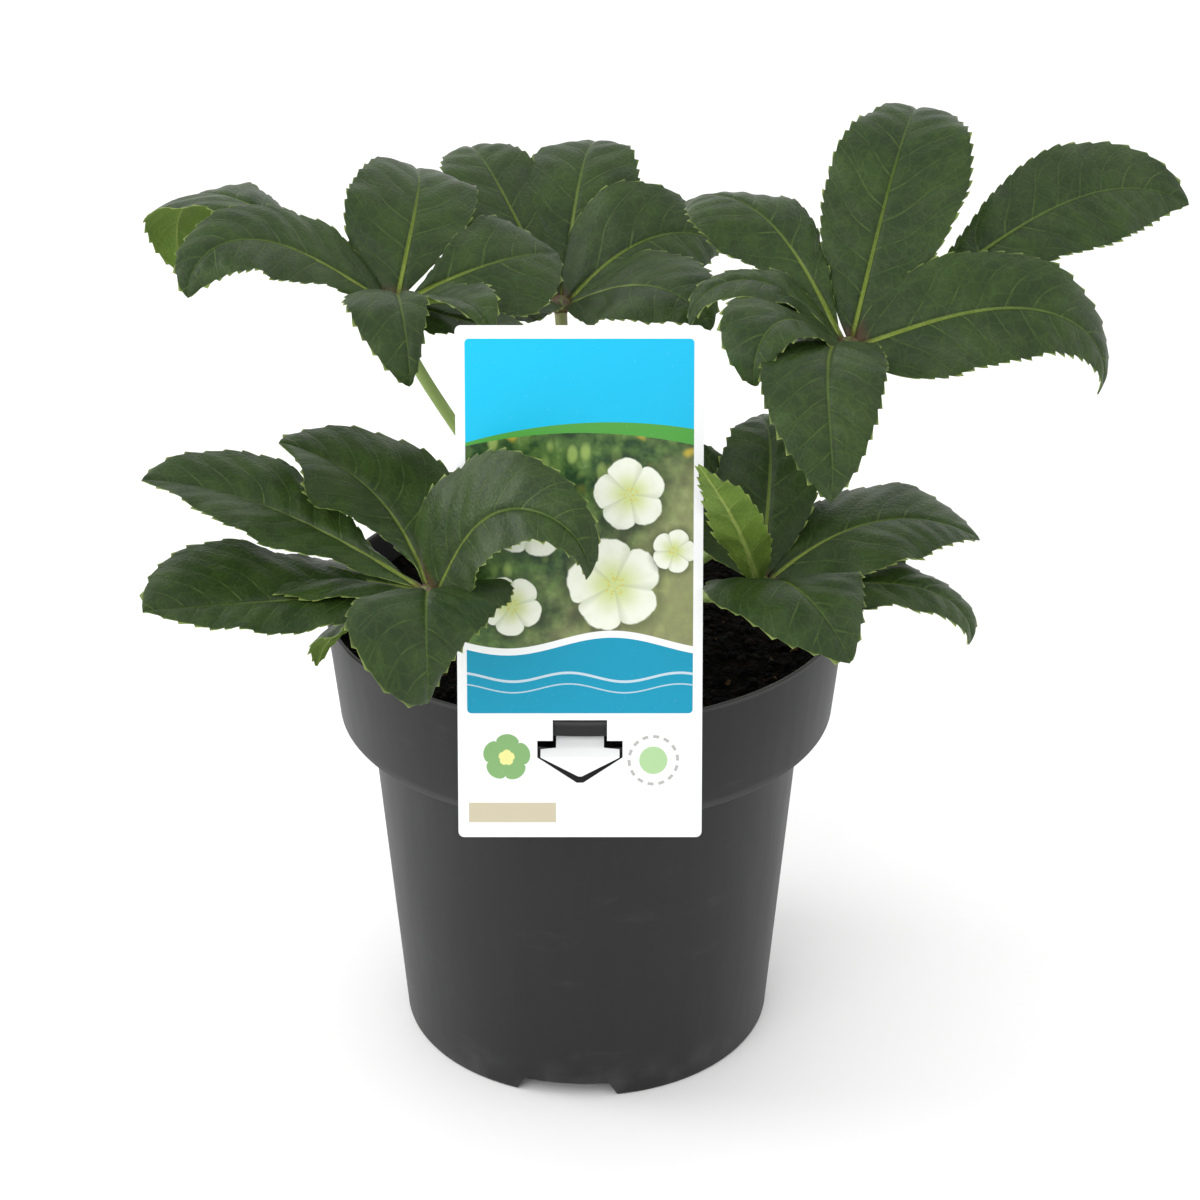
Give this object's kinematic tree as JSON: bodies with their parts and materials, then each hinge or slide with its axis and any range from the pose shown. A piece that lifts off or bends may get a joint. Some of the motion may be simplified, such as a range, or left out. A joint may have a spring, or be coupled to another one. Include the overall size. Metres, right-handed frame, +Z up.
{
  "type": "potted hellebore plant",
  "caption": "Hellebore perennial with broad toothed leaflets in fans on bowed stalks, growing in a dark tapered nursery pot with a plain hooked plant label.",
  "frame": {"origin": "on the ground, under the middle of the whole plant's outline; the pot's axis stands 30.5 mm towards -X and 6.5 mm towards +Y from it", "axes": "+Z up, -Y towards the side that the label faces, +X to the right as seen from that side"},
  "size_m": [0.3946, 0.3133, 0.3583],
  "materials": {
    "pot_plastic": "dark charcoal moulded plastic with faint scuffs",
    "compost": "moist dark peat-like compost with a few light specks",
    "label_sheet": null,
    "leaf": "leathery dark green blade with pale veins and toothed light margin",
    "stalk": "smooth pale green stalk, purplish at the hub"
  },
  "bodies": {
    "root": {"pot": "pot_plastic", "soil": "compost", "label": "label_sheet", "left_high_stalk": "stalk", "left_high_blades": "leaf", "back_stalk": "stalk", "back_blades": "leaf", "right_high_stalk": "stalk", "right_high_blades": "leaf", "left_low_stalk": "stalk", "left_low_blades": "leaf", "right_low_stalk": "stalk", "right_low_blades": "leaf"}
  },
  "joints": []
}
